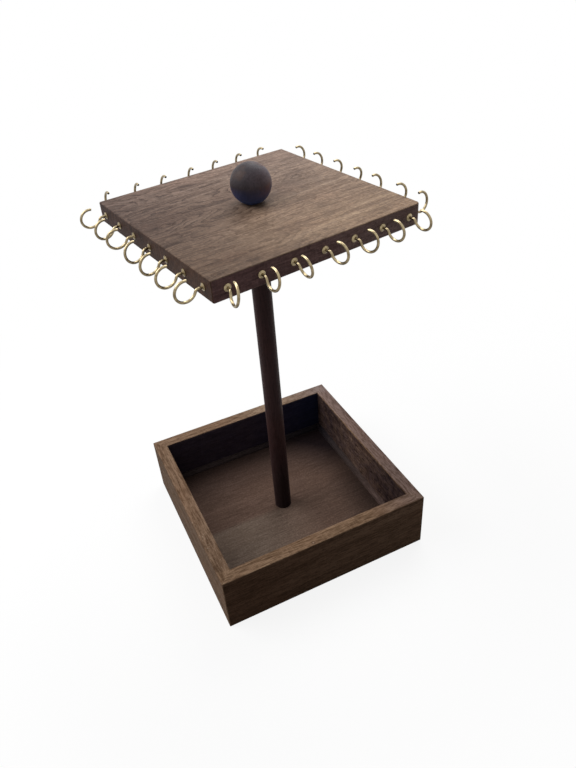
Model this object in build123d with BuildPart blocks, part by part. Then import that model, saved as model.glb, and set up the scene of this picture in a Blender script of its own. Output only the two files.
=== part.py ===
from build123d import *
from math import atan2, degrees, sqrt
import os

# Jewellery stand, in millimetres. An open square tray carries a round post, and the post
# carries a square top that turns. Brass cup hooks stand out of the top's four edges, and a
# ball sits over the pivot. +Z is up, the origin is the middle of the tray at table level,
# and the tray's sides lie along X and Y.

# Tray: four mitred walls round a floor panel
tray_side = 178.0
tray_height = 53.0
wall_thick = 10.6
wall_ease = 0.6
corner_ease = 0.5
floor_height = 9.8
floor_thick = 5.0
floor_tongue = 5.0
groove_gap = 0.3
bead_size = 4.0

# Post, and the screw and washer that hold it from below
post_dia = 14.3
post_length = 270.4
foot_screw_dia = 4.0
foot_screw_length = 32.0
foot_screw_point = 6.0
foot_head_dia = 8.0
foot_head_height = 2.4
foot_washer_dia = 11.0
foot_washer_thick = 1.0

# Square top
top_side = 152.4
top_thick = 14.0
top_turn = 9.7
top_ease = 0.8
top_corner_radius = 1.2
worn_corner_radius = 3.0

# Pivot rod, screwed into the post and into the ball, with a washer under and over the top
pivot_dia = 5.0
pivot_in_post = 26.0
pivot_in_ball = 14.0
pivot_point = 3.0
washer_dia = 12.5
washer_thick = 0.8
cap_washer_dia = 10.5
cap_washer_thick = 0.4

# Ball
ball_dia = 27.0
ball_flat_dia = 12.0

# Cup hooks: the wire leaves the flange straight, bends down and runs round an open loop
hooks_per_side = 7
hook_end_gap = 9.6
wire_dia = 1.7
loop_radius = 6.4
loop_reach = 11.0
loop_rise = 1.0
bend_radius = 2.2
tip_angle = 105.0
tip_ease = 0.4
flange_dia = 4.8
flange_thick = 1.0
flange_rim = 0.35
flange_crown_dia = 2.4
shank_dia = 1.7
shank_length = 7.0
shank_point = 2.5

# Clearances
bore_gap = 0.02
hole_gap = 0.25
turning_gap = 0.1
pivot_gap = 0.1
blind_gap = 1.0

# How each hook was left by hand, in degrees: how far it is twisted about its shank, and how
# far its wire is bent to the side where it leaves the flange
hook_twists = {
    "front": (-10, -8, 8, 0, -8, 2, 6),
    "right": (-6, -6, -9, 8, 3, -6, -8),
    "back": (-3, 3, 6, 10, 12, 10, 8),
    "left": (-6, -4, -6, 4, -2, 0, -3),
}
hook_bends = {
    "front": (-12, 0, 0, 12, 12, 6, 6),
    "right": (6, -3, 6, 4, 4, 8, 10),
    "back": (6, 0, -3, -6, -3, -6, -4),
    "left": (-3, 6, -6, 10, 6, 0, 0),
}
tray_turns = {"front": 0, "right": 90, "back": 180, "left": 270}
top_turns = {"front": -90, "right": 0, "back": 90, "left": 180}

# Heights that follow from the sizes above
floor_bottom = floor_height - floor_thick
inner_side = tray_side - 2 * wall_thick
foot_washer_bottom = floor_bottom - foot_washer_thick
foot_screw_top = foot_washer_bottom + foot_screw_length
post_top = floor_height + post_length
washer_top = post_top + washer_thick
top_bottom = washer_top + turning_gap
top_top = top_bottom + top_thick
hook_height = top_bottom + top_thick / 2
cap_washer_bottom = top_top + turning_gap
ball_bottom = cap_washer_bottom + cap_washer_thick
ball_centre = ball_bottom + sqrt((ball_dia / 2) ** 2 - (ball_flat_dia / 2) ** 2)
pivot_bottom = post_top - pivot_in_post
pivot_top = ball_bottom + pivot_in_ball
hook_pitch = (top_side - 2 * hook_end_gap) / (hooks_per_side - 1)

os.makedirs("parts", exist_ok=True)


def save(piece, name):
    piece.part.label = name
    export_step(piece.part, f"parts/{name}.step")


def cut_mitres():
    # both ends are cut on the square's diagonals, and the sharp outer corner is eased
    for end in (-1, 1):
        split(bisect_by=Plane(origin=(0, 0, 0), z_dir=(-end, -1, 0)), keep=Keep.TOP)


# Wall: a board with eased edges and a groove for the floor, drawn for the front side
with BuildPart() as wall_form:
    with BuildSketch(Plane.YZ) as wall_profile:
        with Locations((-tray_side / 2 + wall_thick / 2, tray_height / 2)):
            Rectangle(wall_thick, tray_height)
        fillet(wall_profile.vertices(), wall_ease)
        groove_depth = floor_tongue + groove_gap
        groove_height = floor_thick + groove_gap
        with Locations((-inner_side / 2, floor_bottom)):
            Rectangle(groove_depth, groove_height, align=(Align.MAX, Align.MIN), mode=Mode.SUBTRACT)
    extrude(amount=tray_side / 2, both=True)
    cut_mitres()
    for end in (-1, 1):
        eased_corner = (end * (tray_side / 2 - corner_ease), -tray_side / 2, 0)
        split(bisect_by=Plane(origin=eased_corner, z_dir=(-end, 1, 0)), keep=Keep.TOP)

# Bead: a quarter-round strip in the angle of wall and floor, drawn for the front side
with BuildPart() as bead_form:
    with BuildSketch(Plane.YZ) as bead_profile:
        with Locations((-inner_side / 2, floor_height)):
            Circle(bead_size)
            Rectangle(bead_size, bead_size, align=(Align.MIN, Align.MIN), mode=Mode.INTERSECT)
    extrude(amount=inner_side / 2, both=True)
    cut_mitres()

for side, turn in tray_turns.items():
    with BuildPart() as wall:
        add(wall_form.part, rotation=(0, 0, turn))
    save(wall, f"{side}_wall")

    with BuildPart() as bead:
        add(bead_form.part, rotation=(0, 0, turn))
    save(bead, f"{side}_bead")

# Floor panel, let into the grooves of the four walls
with BuildPart() as floor_panel:
    with BuildSketch(Plane.XY.offset(floor_bottom)):
        Rectangle(inner_side + 2 * floor_tongue, inner_side + 2 * floor_tongue)
    extrude(amount=floor_thick)
    with Locations((0, 0, floor_height)):
        Hole(foot_screw_dia / 2 + hole_gap)
save(floor_panel, "floor_panel")

# Post, bored at both ends
with BuildPart() as post:
    with BuildSketch(Plane.XY.offset(floor_height)):
        Circle(post_dia / 2)
    extrude(amount=post_length)
    with BuildSketch(Plane.XY.offset(floor_height)):
        Circle(foot_screw_dia / 2 + bore_gap)
    extrude(amount=foot_screw_top - floor_height + blind_gap, mode=Mode.SUBTRACT)
    with BuildSketch(Plane.XY.offset(pivot_bottom - blind_gap)):
        Circle(pivot_dia / 2 + bore_gap)
    extrude(amount=pivot_in_post + blind_gap, mode=Mode.SUBTRACT)
save(post, "post")

# Screw that pulls the post down on the floor: a pan head, a plain shank and a point
with BuildPart() as foot_screw:
    with BuildSketch(Plane.XZ):
        with BuildLine():
            head_bottom = foot_washer_bottom - foot_head_height
            shank_top = foot_screw_top - foot_screw_point
            Polyline(
                (0, head_bottom),
                (foot_head_dia / 2 - foot_head_height / 2, head_bottom),
                (foot_head_dia / 2, head_bottom + foot_head_height / 2),
                (foot_head_dia / 2, foot_washer_bottom),
                (foot_screw_dia / 2, foot_washer_bottom),
                (foot_screw_dia / 2, shank_top),
                (0, foot_screw_top),
                close=True,
            )
        make_face()
    revolve(axis=Axis.Z)
save(foot_screw, "foot_screw")

with BuildPart() as foot_washer:
    with BuildSketch(Plane.XY.offset(foot_washer_bottom)):
        Circle(foot_washer_dia / 2)
        Circle(foot_screw_dia / 2 + hole_gap, mode=Mode.SUBTRACT)
    extrude(amount=foot_washer_thick)
save(foot_washer, "foot_washer")

# Washer between the post and the top
with BuildPart() as post_washer:
    with BuildSketch(Plane.XY.offset(post_top)):
        Circle(washer_dia / 2)
        Circle(pivot_dia / 2 + hole_gap, mode=Mode.SUBTRACT)
    extrude(amount=washer_thick)
save(post_washer, "post_washer")

# Washer between the top and the ball
with BuildPart() as cap_washer:
    with BuildSketch(Plane.XY.offset(cap_washer_bottom)):
        Circle(cap_washer_dia / 2)
        Circle(pivot_dia / 2 + hole_gap, mode=Mode.SUBTRACT)
    extrude(amount=cap_washer_thick)
save(cap_washer, "cap_washer")

# Pivot rod: pointed at both ends, threaded on the real stand and plain here
with BuildPart() as pivot_rod:
    with BuildSketch(Plane.XZ):
        with BuildLine():
            Polyline(
                (0, pivot_bottom),
                (pivot_dia / 2, pivot_bottom + pivot_point),
                (pivot_dia / 2, pivot_top - pivot_point),
                (0, pivot_top),
                close=True,
            )
        make_face()
    revolve(axis=Axis.Z)
save(pivot_rod, "pivot_rod")

# Ball, cut flat where it meets its washer and bored for the rod
with BuildPart() as ball:
    with Locations((0, 0, ball_centre)):
        Sphere(ball_dia / 2)
    split(bisect_by=Plane.XY.offset(ball_bottom), keep=Keep.TOP)
    with BuildSketch(Plane.XY.offset(ball_bottom)):
        Circle(pivot_dia / 2 + bore_gap)
    extrude(amount=pivot_in_ball + blind_gap, mode=Mode.SUBTRACT)
save(ball, "ball")


def edge_plane(side, place):
    # on the middle of a top's edge face: x points out of the wood, z points up
    turned = Plane.XY.offset(hook_height).rotated((0, 0, top_turn + top_turns[side]))
    seat = turned.from_local_coords((top_side / 2, place, 0))
    return Plane(origin=seat, x_dir=turned.x_dir, z_dir=turned.z_dir)


hook_seats = []
for side in top_turns:
    for number in range(hooks_per_side):
        place = hook_end_gap + number * hook_pitch - top_side / 2
        hook_seats.append((side, number, edge_plane(side, place)))

# Square top, with a bore for the pivot and a pilot hole for each hook
with BuildPart() as square_top:
    with BuildSketch(Plane.XY.offset(top_bottom)):
        Rectangle(top_side, top_side, rotation=top_turn)
    extrude(amount=top_thick)
    upright_edges = square_top.edges().filter_by(Axis.Z).sort_by(Axis.X)
    fillet(upright_edges[-1], worn_corner_radius)
    fillet(square_top.edges().filter_by(Axis.Z).sort_by(Axis.X)[:3], top_corner_radius)
    flat_faces = square_top.faces().filter_by(Axis.Z)
    fillet(flat_faces.edges(), top_ease)
    with Locations((0, 0, top_top)):
        Hole(pivot_dia / 2 + pivot_gap)
    with Locations(*[Plane(origin=seat.origin, z_dir=seat.x_dir) for side, number, seat in hook_seats]):
        Hole(shank_dia / 2 + bore_gap, depth=shank_length + blind_gap)
save(square_top, "square_top")

# Where the neck's bend meets the loop, seen along the wire's plane
bend_drop = bend_radius + loop_rise
bend_run = sqrt((loop_radius + bend_radius) ** 2 - bend_drop**2)
neck_end = loop_reach - bend_run
meet_angle = degrees(atan2(bend_drop, bend_run))

for side, number, seat in hook_seats:
    twist = hook_twists[side][number % len(hook_twists[side])]
    bend = hook_bends[side][number % len(hook_bends[side])]
    upright = Axis(seat.origin, seat.z_dir)
    across = -seat.y_dir.rotate(Axis(seat.origin, seat.x_dir), twist).rotate(upright, bend)
    wire_plane = Plane(origin=seat.origin, x_dir=seat.x_dir.rotate(upright, bend), z_dir=across)
    with BuildPart() as hook:
        with BuildSketch(Plane(origin=seat.origin, x_dir=seat.x_dir, z_dir=-seat.y_dir)):
            with BuildLine():
                Polyline(
                    (-shank_length, 0),
                    (-shank_length + shank_point, shank_dia / 2),
                    (0, shank_dia / 2),
                    (0, flange_dia / 2),
                    (flange_rim, flange_dia / 2),
                    (flange_thick, flange_crown_dia / 2),
                    (flange_thick, 0),
                    close=True,
                )
            make_face()
        revolve(axis=Axis(seat.origin, seat.x_dir))
        with BuildLine(wire_plane) as wire:
            Line((flange_thick / 2, 0), (neck_end, 0))
            CenterArc((neck_end, -bend_radius), bend_radius, 90, meet_angle - 90)
            CenterArc((loop_reach, loop_rise), loop_radius, 180 + meet_angle, 180 - meet_angle + tip_angle)
        with BuildSketch(Plane(wire.line @ 0, z_dir=wire.line % 0)):
            Circle(wire_dia / 2)
        sweep(path=wire.line)
        tip_face = hook.faces().sort_by_distance(wire.line @ 1)[0]
        fillet(tip_face.edges(), tip_ease)
    save(hook, f"hook_{side}_{number + 1}")
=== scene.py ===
from math import cos, pi, radians, sin

import bpy
from mathutils import Matrix, Vector

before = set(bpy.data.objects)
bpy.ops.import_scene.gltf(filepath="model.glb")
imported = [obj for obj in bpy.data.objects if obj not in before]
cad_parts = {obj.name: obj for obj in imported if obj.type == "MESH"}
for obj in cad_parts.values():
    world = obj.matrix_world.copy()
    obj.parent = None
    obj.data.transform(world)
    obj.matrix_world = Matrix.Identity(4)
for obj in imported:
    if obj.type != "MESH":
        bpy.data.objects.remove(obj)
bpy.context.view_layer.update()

# The tray's four walls: boards stained walnut brown, mitred at the corners and glued round the
# floor. Each is cut from another stretch of wood. Painted shade darkens their inner faces and
# the outer front face, painted light pales the front rim and the middle of the inner right face,
# and the rims are a little paler in places.


def reach_of(node):
    # the piece's low and high corners, in metres
    corners = [Vector(corner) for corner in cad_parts[node].bound_box]
    low = Vector([min(corner[axis] for corner in corners) for axis in range(3)])
    high = Vector([max(corner[axis] for corner in corners) for axis in range(3)])
    return low, high


def shader_node(tree, kind, inputs, **settings):
    made = tree.nodes.new("ShaderNode" + kind)
    for key, value in settings.items():
        setattr(made, key, value)
    for key, value in inputs.items():
        if isinstance(value, bpy.types.NodeSocket):
            tree.links.new(value, made.inputs[key])
        else:
            made.inputs[key].default_value = value
    return made


def number(tree, what, first, second=0.0):
    return shader_node(tree, "Math", {0: first, 1: second}, operation=what).outputs[0]


def times(tree, amount, *others):
    for other in others:
        amount = number(tree, "MULTIPLY", amount, other)
    return amount


def vector(tree, what, first, second):
    return shader_node(tree, "VectorMath", {0: first, 1: second}, operation=what).outputs["Vector"]


def measure(tree, what, first, second):
    return shader_node(tree, "VectorMath", {0: first, 1: second}, operation=what).outputs["Value"]


def split_xyz(tree, coordinate):
    return shader_node(tree, "SeparateXYZ", {0: coordinate}).outputs[:]


def turned(tree, coordinate, turn, kind="POINT"):
    inputs = {"Vector": coordinate, "Rotation": turn}
    return shader_node(tree, "Mapping", inputs, vector_type=kind).outputs[0]


def spread(tree, value, low, high, to_low=0.0, to_high=1.0):
    # to_low at the value low and before it, to_high at the value high and beyond it, and an even
    # fade between them
    inputs = {0: value, 1: low, 2: high, 3: to_low, 4: to_high}
    return shader_node(tree, "MapRange", inputs).outputs[0]


def noise(tree, coordinate, scale, detail, rough=0.5, bend=0.0):
    # scale is how many blotches there are to a metre, along X, Y and Z
    stretched = vector(tree, "MULTIPLY", coordinate, scale)
    inputs = {"Vector": stretched, "Scale": 1.0, "Detail": detail, "Roughness": rough, "Distortion": bend}
    return shader_node(tree, "TexNoise", inputs).outputs[0]


def stain_over(tree, amount, under, over, how="MIX"):
    inputs = {0: amount, 6: under, 7: over}
    return shader_node(tree, "Mix", inputs, data_type="RGBA", blend_type=how).outputs[2]


def tinted(tree, amount, colour, tint):
    # the tint multiplies the colour, so the grain still shows through it
    return stain_over(tree, amount, colour, (*tint, 1), "MULTIPLY")


def log_hill(tree, coordinate, wide, fine):
    # how high the saw cut through the log: its level lines are the edges of the growth rings
    wobble = noise(tree, coordinate, fine, 2.0)
    return number(tree, "ADD", noise(tree, coordinate, wide, 1.0), times(tree, wobble, 0.11))


def growth_rings(tree, hill, count):
    # 0 to 1 across each ring
    return number(tree, "FRACT", times(tree, hill, count))


def new_finish(name):
    made = bpy.data.materials.new(name)
    made.use_nodes = True
    tree = made.node_tree
    return made, tree, tree.nodes["Principled BSDF"], shader_node(tree, "TexCoord", {})


def finish_with(node, material):
    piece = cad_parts[node]
    piece.data.materials.clear()
    piece.data.materials.append(material)


def stained_wood(
    name, stain, lay, shift, local_stain,
    figure=0.35, sway=0.0015, coarse=1.0, gloss=0.012, polish=0.55, rub=0.3,
):
    # stain is five colours: deep line, body, pale line, rosy patch and rubbed edge. lay turns the
    # grain onto X, shift takes another stretch of the log, and local_stain adds what differs from
    # place to place. figure is the share of growth rings in the grain, sway is how far the grain
    # wanders in metres, coarse is how open it is, gloss is how much the finish shines, polish is
    # how rough it is, and rub is how far the edges are worn
    deep, body, pale, rosy, lighter = [(*colour, 1) for colour in stain]
    made, tree, shader, place = new_finish(name)
    stretch = {"Vector": place.outputs["Object"], "Rotation": lay, "Location": shift}
    log = shader_node(tree, "Mapping", stretch).outputs[0]
    wander = {"Vector": vector(tree, "MULTIPLY", log, (26, 44, 44)), "Scale": 1.0, "Detail": 3.0}
    wander = shader_node(tree, "TexNoise", wander).outputs["Color"]
    wander = vector(tree, "SUBTRACT", wander, (0.5, 0.5, 0.5))
    log = vector(tree, "ADD", log, vector(tree, "MULTIPLY", wander, (0, sway, sway)))

    streak = noise(tree, log, (11, 130, 130), 5, 0.6, 0.6)
    growth = noise(tree, log, (34, 420, 420), 5, 0.65, 1.6)
    fibre = noise(tree, log, (110, 850, 850), 4, 0.6)
    pore = noise(tree, log, (300, 1500, 1500), 3, 0.55)
    saw_mark = noise(tree, log, (800, 110, 110), 3, 0.55)
    cloud = noise(tree, log, (16, 28, 28), 4, 0.55)
    pores = spread(tree, pore, 0.58, 0.66)

    lines = number(tree, "ADD", times(tree, streak, 1 - figure), times(tree, growth, figure))
    ramp = shader_node(tree, "ValToRGB", {"Fac": lines})
    ramp.color_ramp.elements[0].position = 0.38
    ramp.color_ramp.elements[0].color = deep
    ramp.color_ramp.elements[1].position = 0.62
    ramp.color_ramp.elements[1].color = pale
    ramp.color_ramp.elements.new(0.50).color = body
    colour = ramp.outputs[0]
    colour = stain_over(tree, spread(tree, cloud, 0.48, 0.70, 0.0, 0.55), colour, rosy)
    colour = stain_over(tree, spread(tree, fibre, 0.48, 0.66, 0.0, 0.75 * coarse), colour, pale)
    colour = stain_over(tree, spread(tree, fibre, 0.50, 0.34, 0.0, 0.85 * coarse), colour, deep)
    colour = stain_over(tree, times(tree, pores, 0.75 * coarse), colour, deep)
    colour = stain_over(tree, spread(tree, saw_mark, 0.52, 0.68, 0.0, 0.30), colour, pale)

    # end grain drinks more stain
    along_grain = split_xyz(tree, turned(tree, place.outputs["Normal"], lay, "NORMAL"))[0]
    end_grain = number(tree, "ABSOLUTE", along_grain)
    colour = stain_over(tree, spread(tree, end_grain, 0.75, 0.95, 0.0, 0.5), colour, deep)
    colour = local_stain(tree, place, colour)

    # edges are rubbed paler, here and there down to the wood
    rounded = shader_node(tree, "Bevel", {"Radius": 0.0014}, samples=6).outputs[0]
    flat = shader_node(tree, "NewGeometry", {}).outputs["Normal"]
    edge = spread(tree, measure(tree, "DOT_PRODUCT", rounded, flat), 0.985, 0.88)
    in_patches = spread(tree, cloud, 0.35, 0.62, 0.25, rub)
    edge = times(tree, edge, in_patches, spread(tree, streak, 0.35, 0.6, 0.4, 1.0))
    colour = stain_over(tree, edge, colour, lighter)
    tree.links.new(colour, shader.inputs["Base Color"])

    dullness = spread(tree, fibre, 0.3, 0.7, polish, polish + 0.15)
    dullness = number(tree, "ADD", dullness, times(tree, pores, 0.15))
    tree.links.new(dullness, shader.inputs["Roughness"])
    shader.inputs["Specular IOR Level"].default_value = gloss

    height = number(tree, "SUBTRACT", times(tree, fibre, 0.6), times(tree, pores, 0.8))
    height = number(tree, "ADD", height, times(tree, lines, 1.2))
    height = number(tree, "ADD", height, times(tree, saw_mark, 0.15))
    grain_relief = shader_node(tree, "Bump", {"Strength": 0.5, "Distance": 0.0003, "Height": height})
    tree.links.new(grain_relief.outputs[0], shader.inputs["Normal"])
    return made


tray_stain = (
    (0.090, 0.052, 0.031),
    (0.180, 0.112, 0.072),
    (0.275, 0.180, 0.120),
    (0.215, 0.118, 0.070),
    (0.290, 0.195, 0.130),
)
inner_shade_tint = (0.13, 0.14, 0.36)
front_shade_tint = (0.30, 0.19, 0.15)
left_tint = (0.74, 0.74, 0.74)
back_shade_tint = (0.86, 0.98, 1.65)
back_corner_shade_tint = (0.40, 0.62, 1.05)
shade_black = (0.046, 0.034, 0.044, 1)
middle_light_tint = (2.05, 2.05, 1.82)
curl_tint = (0.50, 0.48, 0.50)
right_rim_tint = (0.88, 0.95, 1.25)
back_rim_tint = (1.30, 1.42, 1.50)
front_rim_light_tint = (1.13, 1.12, 1.07)
bare_wood = (0.46, 0.36, 0.27, 1)
nail_gap = (0.05, 0.03, 0.02, 1)
nail_filler = (0.30, 0.20, 0.14, 1)
front_high = reach_of("front_wall")[1]
inner_face = -front_high.y
rim_height = front_high.z
filled_nail = (-0.012, -0.0865, rim_height)
curl_rings = 9.0


def tray_patches(tree, place, colour):
    # places are in metres from the tray's middle
    here = place.outputs["Object"]
    x, y, z = split_xyz(tree, here)
    way_x, way_y, way_z = split_xyz(tree, place.outputs["Normal"])
    looks_front = spread(tree, way_y, -0.80, -0.97)
    looks_left = spread(tree, way_x, -0.80, -0.97)
    looks_up = spread(tree, way_z, 0.80, 0.95)
    mottling = noise(tree, here, (160, 160, 160), 5.0)

    # painted shade: the inner faces are darkened below the rim, in mottled patches
    from_middle = number(tree, "MAXIMUM", number(tree, "ABSOLUTE", x), number(tree, "ABSOLUTE", y))
    inside = spread(tree, from_middle, inner_face + 0.0012, inner_face + 0.0002)
    below_rim = spread(tree, z, rim_height - 0.0004, rim_height - 0.0022)
    painted_inner_shade = times(tree, inside, below_rim, spread(tree, mottling, 0.36, 0.62, 0.60, 0.80))
    colour = tinted(tree, painted_inner_shade, colour, inner_shade_tint)

    # outside, painted shade darkens the front, and the left side is darker to the back
    shaded_front = times(tree, looks_front, spread(tree, y, 0.0, -inner_face))
    shaded_front = times(tree, shaded_front, spread(tree, x, -0.060, 0.060, 0.66, 0.37))
    colour = tinted(tree, shaded_front, colour, front_shade_tint)
    left_face = times(tree, looks_left, spread(tree, x, 0.0, -inner_face))
    left_face = times(tree, left_face, spread(tree, y, -0.080, 0.060, 0.25, 1.0))
    colour = tinted(tree, left_face, colour, left_tint)

    # inside, painted shade makes the back blue-black, deepest to the right, and painted light
    # pales the middle of the right side, which has curly grain
    back_face = times(tree, looks_front, spread(tree, y, 0.0, inner_face))
    colour = tinted(tree, back_face, colour, back_shade_tint)
    colour = stain_over(tree, times(tree, back_face, 0.6), colour, shade_black)
    shaded_back_corner = times(tree, back_face, spread(tree, x, 0.0, 0.070))
    colour = tinted(tree, shaded_back_corner, colour, back_corner_shade_tint)
    right_face = times(tree, looks_left, spread(tree, x, 0.0, inner_face))
    # painted light: the inner right face is paler in its middle
    painted_middle_light = times(tree, right_face, spread(tree, number(tree, "ABSOLUTE", y), 0.050, 0.015))
    colour = tinted(tree, painted_middle_light, colour, middle_light_tint)
    curl = growth_rings(tree, log_hill(tree, here, (60, 60, 60), (110, 190, 190)), curl_rings)
    curl = times(tree, spread(tree, curl, 0.50, 0.10), right_face, 0.8)
    colour = tinted(tree, curl, colour, curl_tint)

    # the rims are greyed at the right and paler at the back, painted light pales the front one,
    # and the left one is scuffed
    right_rim = times(tree, looks_up, spread(tree, x, 0.040, 0.085))
    colour = tinted(tree, right_rim, colour, right_rim_tint)
    back_rim = times(tree, looks_up, spread(tree, y, 0.075, 0.079), spread(tree, x, -0.010, 0.025))
    colour = tinted(tree, back_rim, colour, back_rim_tint)
    lit_front_rim = times(tree, looks_up, spread(tree, y, -0.076, -0.079))
    colour = tinted(tree, lit_front_rim, colour, front_rim_light_tint)
    dots = shader_node(tree, "TexVoronoi", {"Vector": here, "Scale": 560.0}).outputs["Distance"]
    scuffed = times(tree, looks_up, spread(tree, x, -0.079, -0.081), spread(tree, y, 0.0, -0.030))
    scuffed = times(tree, scuffed, spread(tree, mottling, 0.50, 0.56))
    scuffed = times(tree, scuffed, spread(tree, dots, 0.24, 0.12, 0.0, 0.7))
    colour = stain_over(tree, scuffed, colour, bare_wood)
    from_nail = measure(tree, "DISTANCE", here, filled_nail)
    colour = stain_over(tree, spread(tree, from_nail, 0.0018, 0.0011, 0.0, 0.7), colour, nail_gap)
    return stain_over(tree, spread(tree, from_nail, 0.0011, 0.0005), colour, nail_filler)


quarter = pi / 2
wall_boards = {
    "front_wall": (0, (0.31, 0.07, 0.00)),
    "right_wall": (-quarter, (1.12, 0.23, 0.04)),
    "back_wall": (0, (2.05, 0.41, 0.02)),
    "left_wall": (-quarter, (3.37, 0.11, 0.09)),
}
for wall, (turn, stretch) in wall_boards.items():
    wall_wood = stained_wood(f"{wall}_walnut", tray_stain, (0, 0, turn), stretch, tray_patches)
    finish_with(wall, wall_wood)


# The floor: a thin sheet of plywood let into the walls and stained with them. Painted light makes
# it greyer at the front and paler along its left edge, and painted shade darkens it to the back
# and right, nearly black in the far corner.

floor_stain = (
    (0.084, 0.052, 0.039),
    (0.106, 0.066, 0.050),
    (0.132, 0.084, 0.065),
    (0.116, 0.069, 0.050),
    (0.130, 0.100, 0.080),
)
lit_front_tint = (1.46, 1.72, 1.76)
dark_grit_tint = (0.86, 0.85, 0.85)
pale_grit_tint = (1.14, 1.14, 1.14)
floor_left_light_tint = (1.40, 1.40, 1.40)
floor_shade_tint = (0.16, 0.17, 0.24)


def floor_patches(tree, place, colour):
    here = place.outputs["Object"]
    x, y = split_xyz(tree, here)[:2]
    # painted light: the front of the floor is greyer and paler
    painted_front_light = times(tree, spread(tree, y, -0.002, -0.007), spread(tree, x, 0.024, -0.040, 0.05, 1.0))
    colour = tinted(tree, painted_front_light, colour, lit_front_tint)
    grit = noise(tree, here, (620, 620, 620), 3.0)
    colour = tinted(tree, spread(tree, grit, 0.42, 0.62), colour, dark_grit_tint)
    colour = tinted(tree, spread(tree, grit, 0.46, 0.34), colour, pale_grit_tint)
    # painted light along the left edge
    colour = tinted(tree, spread(tree, x, -0.050, -0.072), colour, floor_left_light_tint)
    # painted shade to the back and the right, deepest in the far corner
    to_back = spread(tree, y, 0.020, 0.068, 0.0, 0.66)
    to_right = spread(tree, x, 0.045, 0.072, 0.0, 0.55)
    far_corner = spread(tree, number(tree, "ADD", x, y), 0.056, 0.117)
    painted_floor_shade = number(tree, "MAXIMUM", number(tree, "MAXIMUM", to_back, to_right), far_corner)
    return tinted(tree, painted_floor_shade, colour, floor_shade_tint)


floor_veneer = stained_wood(
    "floor_veneer", floor_stain, (0, 0, 0), (0.6, 0.2, 0.3), floor_patches, figure=0.85, coarse=0.40
)
finish_with("floor_panel", floor_veneer)


# The beads: quarter-round strips, glued into the angle of the walls and the floor.
# They were left paler than the walls, the right one paler toward the front, and painted shade
# darkens them along the back and in the far corner.

bead_stain = (
    (0.050, 0.034, 0.029),
    (0.078, 0.054, 0.046),
    (0.105, 0.076, 0.066),
    (0.072, 0.046, 0.037),
    (0.115, 0.088, 0.076),
)
far_bead_shade_tint = (0.24, 0.26, 0.34)
back_bead_shade_tint = (0.62, 0.62, 0.70)
pale_front_bead_tint = (1.6, 1.5, 1.5)


def bead_patches(tree, place, colour):
    x, y = split_xyz(tree, place.outputs["Object"])[:2]
    # painted shade in the far corner and along the back
    far_corner = spread(tree, number(tree, "ADD", x, y), 0.055, 0.135)
    colour = tinted(tree, far_corner, colour, far_bead_shade_tint)
    colour = tinted(tree, spread(tree, y, 0.060, 0.072), colour, back_bead_shade_tint)
    # the right bead is paler toward the front
    lighter = times(tree, spread(tree, x, 0.069, 0.073), spread(tree, y, 0.020, -0.030))
    return tinted(tree, lighter, colour, pale_front_bead_tint)


bead_turns = {"front_bead": 0, "right_bead": -quarter, "back_bead": 0, "left_bead": -quarter}
for bead, turn in bead_turns.items():
    stretch = (0.9 + turn, 0.5, 0.1)
    bead_wood = stained_wood(
        f"{bead}_strip", bead_stain, (0, 0, turn), stretch, bead_patches, gloss=0.06
    )
    finish_with(bead, bead_wood)


# The post: a dowel that stands on the floor, with the grain along it. It was stained nearly black
# and sealed, and its foot is the darkest.

post_stain = (
    (0.022, 0.011, 0.011),
    (0.044, 0.022, 0.022),
    (0.062, 0.033, 0.032),
    (0.068, 0.025, 0.021),
    (0.070, 0.045, 0.038),
)
foot_tint = (0.55, 0.72, 0.76)


def dark_foot(tree, place, colour):
    z = split_xyz(tree, place.outputs["Object"])[2]
    return tinted(tree, spread(tree, z, 0.120, 0.030), colour, foot_tint)


post_wood = stained_wood(
    "post_dowel", post_stain, (0, quarter, 0), (0.4, 0.3, 0.7), dark_foot,
    coarse=0.6, gloss=0.06, polish=0.38,
)
finish_with("post", post_wood)


# The top: one thick board of the same wood, planed, with small knots and curly grain round them.
# Its four edges took the stain darker than the rest, and painted sheen makes its face darker to
# the left and paler to the front.

top_stain = (
    (0.128, 0.083, 0.064),
    (0.238, 0.168, 0.130),
    (0.345, 0.256, 0.205),
    (0.270, 0.174, 0.132),
    (0.300, 0.220, 0.168),
)
top_dark_grit_tint = (0.88, 0.87, 0.87)
top_pale_grit_tint = (1.18, 1.18, 1.18)
heart_tint = (0.34, 0.31, 0.33)
late_wood_tint = (0.42, 0.38, 0.38)
early_wood_tint = (1.12, 1.11, 1.10)
sheen_dark_left_tint = (0.50, 0.48, 0.50)
left_half_tint = (0.86, 0.84, 0.84)
sheen_pale_front_tint = (1.12, 1.06, 0.89)
edge_tint = (0.44, 0.27, 0.22)
front_edge_tint = (1.25, 1.62, 2.60)
front_edge_left_tint = (2.20, 1.90, 2.00)
top_turn = radians(9.7)
top_lay = (0, 0, -top_turn)
top_low, top_high = reach_of("square_top")
top_rings = 15.0
knot_rise = 0.16
knot_stain = 0.48
# where each knot lies on the board, its radius, and how strong it is
knots = (
    (-0.0086, 0.0209, 0.018, 0.75),
    (0.0491, 0.0207, 0.008, 1.0),
    (-0.034, 0.010, 0.026, 0.60),
)


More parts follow.
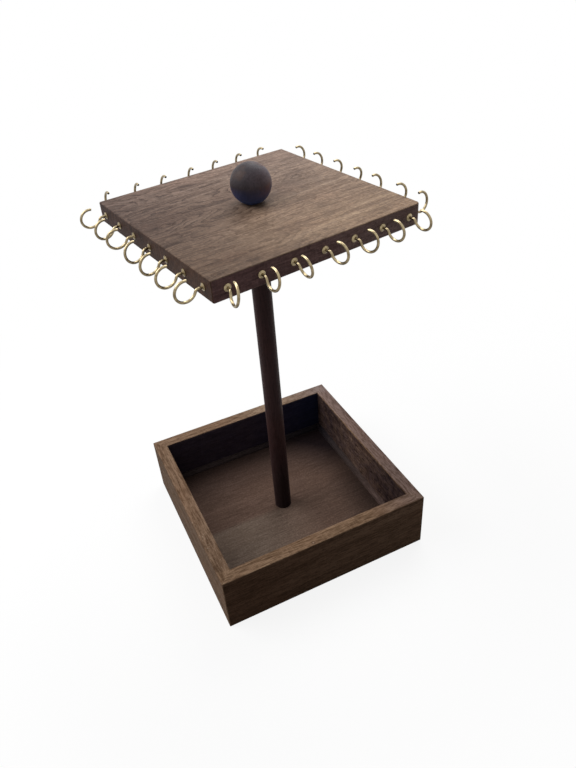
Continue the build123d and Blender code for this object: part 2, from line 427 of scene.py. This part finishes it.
def top_patches(tree, place, colour):
    # places are in metres from the board's middle, with X and Y along its edges
    here = turned(tree, place.outputs["Object"], top_lay)
    x, y = split_xyz(tree, here)[:2]
    grit = noise(tree, here, (560, 560, 560), 3.0)
    colour = tinted(tree, spread(tree, grit, 0.45, 0.62), colour, top_dark_grit_tint)
    colour = tinted(tree, spread(tree, grit, 0.45, 0.34), colour, top_pale_grit_tint)

    # the heart of the log runs through the middle, and the grain curls at the back left
    hill = log_hill(tree, here, (13, 46, 13), (110, 190, 110))
    curly = times(tree, spread(tree, y, -0.045, 0.010, 0.50, 1.0), spread(tree, x, 0.060, -0.010, 0.45, 1.0))
    from_heart = number(tree, "ABSOLUTE", number(tree, "SUBTRACT", y, 0.010))
    heart = times(tree, spread(tree, from_heart, 0.022, 0.006), spread(tree, x, -0.032, -0.012))
    heart = times(tree, heart, spread(tree, x, 0.068, 0.040, 0.0, 0.55))
    for knot_x, knot_y, radius, depth in knots:
        from_knot = measure(tree, "DISTANCE", here, (knot_x, knot_y, top_high.z))
        near = spread(tree, from_knot, radius * 2.0, radius * 0.3, 0.0, depth)
        hill = number(tree, "ADD", hill, times(tree, near, knot_rise))
        curly = number(tree, "MAXIMUM", curly, near)
        heart = number(tree, "MAXIMUM", heart, times(tree, near, knot_stain))
    colour = tinted(tree, heart, colour, heart_tint)

    # each ring is dark where the wood grew late in the year, and the dark lines are broken
    ring = growth_rings(tree, hill, top_rings)
    broken = spread(tree, noise(tree, here, (60, 240, 60), 3.0), 0.34, 0.58, 0.25, 1.0)
    late_wood = times(tree, spread(tree, ring, 0.48, 0.10), broken, curly)
    colour = tinted(tree, late_wood, colour, late_wood_tint)
    early_wood = times(tree, spread(tree, ring, 0.55, 0.85, 0.0, 0.8), curly)
    colour = tinted(tree, early_wood, colour, early_wood_tint)

    # painted sheen: the face is painted darker to the left and paler to the front
    to_left = number(tree, "ADD", x, times(tree, y, 0.25))
    colour = tinted(tree, spread(tree, to_left, 0.002, -0.064), colour, sheen_dark_left_tint)
    left_half = times(tree, spread(tree, x, 0.035, -0.010), spread(tree, y, -0.012, 0.012))
    colour = tinted(tree, left_half, colour, left_half_tint)
    colour = tinted(tree, spread(tree, y, 0.060, -0.060), colour, sheen_pale_front_tint)

    # the four edges are darker than the face, and the front one is the bluest
    way_y, way_z = split_xyz(tree, place.outputs["Normal"])[1:]
    edge = spread(tree, number(tree, "ABSOLUTE", way_z), 0.6, 0.3, 0.0, 0.74)
    colour = tinted(tree, edge, colour, edge_tint)
    front_edge = times(tree, edge, spread(tree, way_y, -0.80, -0.95))
    colour = tinted(tree, front_edge, colour, front_edge_tint)
    front_edge_left = times(tree, front_edge, spread(tree, x, 0.040, -0.070))
    return tinted(tree, front_edge_left, colour, front_edge_left_tint)


top_wood = stained_wood(
    "top_board", top_stain, top_lay, (0.15, 0.62, 0.35), top_patches,
    figure=0.32, sway=0.004, coarse=0.62, gloss=0.10, polish=0.5, rub=0.25,
)
finish_with("square_top", top_wood)


# The ball: turned from wood, stained nearly black and waxed. Painted shade darkens its left
# side and crown and turns its underside blue-black, and a painted highlight pales its right side.

ball_stain = (
    (0.029, 0.022, 0.026),
    (0.051, 0.039, 0.045),
    (0.072, 0.056, 0.062),
    (0.070, 0.037, 0.029),
    (0.080, 0.060, 0.054),
)
rusty_patch = (0.075, 0.036, 0.026, 1)
ball_left_shade_tint = (0.46, 0.42, 0.45)
ball_right_highlight_tint = (2.60, 2.65, 2.80)
crown_shade_tint = (0.66, 0.66, 0.66)
underside_shade = (0.042, 0.068, 0.190, 1)
ball_low, ball_high = reach_of("ball")
ball_radius = (ball_high.x - ball_low.x) / 2
ball_middle = ball_high.z - ball_radius


def ball_patches(tree, place, colour):
    here = place.outputs["Object"]
    x, _, z = split_xyz(tree, here)
    patch = noise(tree, here, (85, 85, 85), 3.0)
    colour = stain_over(tree, spread(tree, patch, 0.50, 0.62, 0.0, 0.8), colour, rusty_patch)
    # painted shade on the left side, and a painted highlight on the right
    colour = tinted(tree, spread(tree, x, 0.002, -0.013), colour, ball_left_shade_tint)
    colour = tinted(tree, spread(tree, x, -0.008, 0.013), colour, ball_right_highlight_tint)
    # painted shade on the crown
    shaded_crown = spread(tree, z, ball_middle + 0.0085, ball_middle + 0.0125)
    colour = tinted(tree, shaded_crown, colour, crown_shade_tint)
    # painted shade: the underside is blue-black
    shaded_underside = spread(tree, z, ball_middle + 0.001, ball_middle - 0.009, 0.0, 0.93)
    return stain_over(tree, shaded_underside, colour, underside_shade)


ball_wood = stained_wood(
    "ball_turned", ball_stain, (0, quarter, 0.3), (0.8, 0.1, 0.2), ball_patches,
    sway=0.004, coarse=0.6, gloss=0.22, polish=0.44,
)
finish_with("ball", ball_wood)


# The hooks: bent brass wire with a pressed flange, bright on top and painted brown below with
# painted shade and dark reflection. Their cut ends have tarnished dark.

bright_brass = (0.51, 0.415, 0.250, 1)
dull_brass = (0.35, 0.275, 0.158, 1)
underside_brown = (0.095, 0.070, 0.040, 1)
tarnish = (0.012, 0.010, 0.008, 1)
hook_height = (top_low.z + top_high.z) / 2
cut_end_rise = 0.0058
cut_end_height = hook_height + cut_end_rise

brass, tree, shader, place = new_finish("hook_brass")
here = place.outputs["Object"]
mottle = noise(tree, here, (420, 420, 420), 4.0)
scratch = noise(tree, here, (2600, 2600, 2600), 2.0)
looks_up = split_xyz(tree, place.outputs["Normal"])[2]
metal = stain_over(tree, spread(tree, mottle, 0.4, 0.7), bright_brass, dull_brass)
# painted shade and dark reflection: brown on the faces that look down
painted_underside = times(tree, spread(tree, looks_up, 0.92, -0.10), spread(tree, mottle, 0.35, 0.65, 0.6, 1.0), 0.88)
metal = stain_over(tree, painted_underside, metal, underside_brown)

# a cut end is high on the loop and looks inward, to the edge that carries its hook
x, y, z = split_xyz(tree, turned(tree, here, top_lay))
way_x, way_y = split_xyz(tree, turned(tree, place.outputs["Normal"], top_lay, "NORMAL"))[:2]
inward_x = times(tree, number(tree, "SIGN", x), way_x, -1.0)
inward_y = times(tree, number(tree, "SIGN", y), way_y, -1.0)
at_x_edge = number(tree, "GREATER_THAN", number(tree, "ABSOLUTE", x), number(tree, "ABSOLUTE", y))
inward = shader_node(tree, "Mix", {0: at_x_edge, 2: inward_y, 3: inward_x}).outputs[0]
high_up = spread(tree, z, cut_end_height, cut_end_height + 0.0003)
cut_end = times(tree, spread(tree, inward, 0.50, 0.70), high_up)
metal = stain_over(tree, cut_end, metal, tarnish)
tree.links.new(metal, shader.inputs["Base Color"])
tree.links.new(spread(tree, scratch, 0.3, 0.7, 0.20, 0.34), shader.inputs["Roughness"])
shader.inputs["Metallic"].default_value = 1.0
wire_relief = shader_node(tree, "Bump", {"Strength": 0.12, "Distance": 0.0001, "Height": scratch})
tree.links.new(wire_relief.outputs[0], shader.inputs["Normal"])
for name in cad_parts:
    if name.startswith("hook_"):
        finish_with(name, brass)


# The hidden hardware: a screw, a rod and two washers of zinc-plated steel, which hold the post and
# the ball.

bright_zinc = (0.62, 0.63, 0.64, 1)
dull_zinc = (0.42, 0.42, 0.43, 1)

zinc, tree, shader, place = new_finish("zinc_plate")
here = place.outputs["Object"]
spangle = shader_node(tree, "TexVoronoi", {"Vector": here, "Scale": 900.0}).outputs["Distance"]
dulled = noise(tree, here, (300, 300, 300), 4.0)
tree.links.new(stain_over(tree, dulled, bright_zinc, dull_zinc), shader.inputs["Base Color"])
tree.links.new(spread(tree, spangle, 0.0, 0.6, 0.30, 0.48), shader.inputs["Roughness"])
shader.inputs["Metallic"].default_value = 1.0
for name in ("foot_screw", "foot_washer", "post_washer", "pivot_rod"):
    finish_with(name, zinc)


# The washer between the top and the ball: punched from black nylon, and held by the rod that
# goes through it. The top turns against it.

nylon_black = (0.018, 0.018, 0.020, 1)
nylon_grey = (0.035, 0.034, 0.034, 1)

nylon, tree, shader, place = new_finish("black_nylon")
speckle = noise(tree, place.outputs["Object"], (1800, 1800, 1800), 2.0)
tree.links.new(stain_over(tree, speckle, nylon_black, nylon_grey), shader.inputs["Base Color"])
tree.links.new(spread(tree, speckle, 0.3, 0.7, 0.45, 0.6), shader.inputs["Roughness"])
finish_with("cap_washer", nylon)


# The table it stands on and the room: a white sheet, two large soft lamps high up behind the
# stand, to its left and right, and a dim room. The camera and the metal see the sheet and the
# room as white, which adds no light.


def seen_white(tree):
    path = shader_node(tree, "LightPath", {}).outputs
    seen = number(tree, "MAXIMUM", path["Is Camera Ray"], path["Is Glossy Ray"])
    return number(tree, "MAXIMUM", seen, path["Is Transmission Ray"])


white = (1, 1, 1, 1)
black = (0, 0, 0, 1)
paper_grey = (0.25, 0.25, 0.25, 1)
sheet_size = 3.0
shadow_share = 0.12
room_light = 0.20

sheet_mesh = bpy.data.meshes.new("table_sheet")
corners = [(x * sheet_size, y * sheet_size, 0) for x, y in ((-1, -1), (1, -1), (1, 1), (-1, 1))]
sheet_mesh.from_pydata(corners, [], [(0, 1, 2, 3)])
table_sheet = bpy.data.objects.new("table_sheet", sheet_mesh)
bpy.context.collection.objects.link(table_sheet)

# near the stand, a share of the sheet's white is lit by the lamps, and there its shadow shows
paper, tree, shader, place = new_finish("white_paper")
shader.inputs["Roughness"].default_value = 0.9
shader.inputs["Specular IOR Level"].default_value = 0.0
seen = seen_white(tree)
from_foot = measure(tree, "DISTANCE", place.outputs["Object"], (0, 0, 0))
lit_part = spread(tree, from_foot, 0.50, 0.22, 0.0, shadow_share)
paper_lit = shader_node(tree, "Mix", {0: seen, 2: 1.0, 3: lit_part}).outputs[0]
paper_colour = stain_over(tree, paper_lit, black, stain_over(tree, seen, paper_grey, white))
tree.links.new(paper_colour, shader.inputs["Base Color"])
shader.inputs["Emission Color"].default_value = white
unlit_part = number(tree, "SUBTRACT", 1.0, lit_part)
tree.links.new(times(tree, seen, unlit_part), shader.inputs["Emission Strength"])
sheet_mesh.materials.append(paper)

world = bpy.data.worlds.new("room")
bpy.context.scene.world = world
world.use_nodes = True
tree = world.node_tree
background = tree.nodes["Background"]
background.inputs["Color"].default_value = white
tree.links.new(number(tree, "MAXIMUM", seen_white(tree), room_light), background.inputs["Strength"])


def soft_lamp(name, place, aim, size, power):
    lamp = bpy.data.lights.new(name, "AREA")
    lamp.shape = "SQUARE"
    lamp.size = size
    lamp.energy = power
    stand = bpy.data.objects.new(name, lamp)
    stand.location = place
    stand.rotation_euler = (Vector(aim) - Vector(place)).to_track_quat("-Z", "Y").to_euler()
    bpy.context.collection.objects.link(stand)


middle = (0, 0, 0.17)
lamp_size = 0.9
soft_lamp("window_lamp", (-0.80, 0.42, 1.15), middle, lamp_size, 13.0)
soft_lamp("far_lamp", (0.60, 0.60, 1.20), middle, lamp_size, 10.0)


# The camera: where the photograph's was, found from the corners of the tray and the top. It
# looked down from the front left, and was held a little askew.

photo_height = 768
focal_pixels = 658.15
look_at = Vector((0.01452, 0.00052, 0.13977))
camera_distance = 0.52836
camera_turn = radians(-22.92)
camera_rise = radians(37.01)
camera_roll = radians(-4.71)

across = cos(camera_rise)
back = Vector((sin(camera_turn) * across, -cos(camera_turn) * across, sin(camera_rise)))
level_right = (-back).cross(Vector((0, 0, 1))).normalized()
level_up = level_right.cross(-back)
right = cos(camera_roll) * level_right + sin(camera_roll) * level_up
up = -sin(camera_roll) * level_right + cos(camera_roll) * level_up
camera = bpy.data.cameras.new("camera")
camera.sensor_fit = "VERTICAL"
camera.sensor_height = 36.0
camera.lens = focal_pixels / photo_height * camera.sensor_height
camera.clip_start = 0.01
camera_stand = bpy.data.objects.new("camera", camera)
facing = Matrix((right, up, back)).transposed().to_4x4()
camera_stand.matrix_world = Matrix.Translation(look_at + back * camera_distance) @ facing
bpy.context.collection.objects.link(camera_stand)
bpy.context.scene.camera = camera_stand
bpy.context.scene.view_settings.view_transform = "Standard"
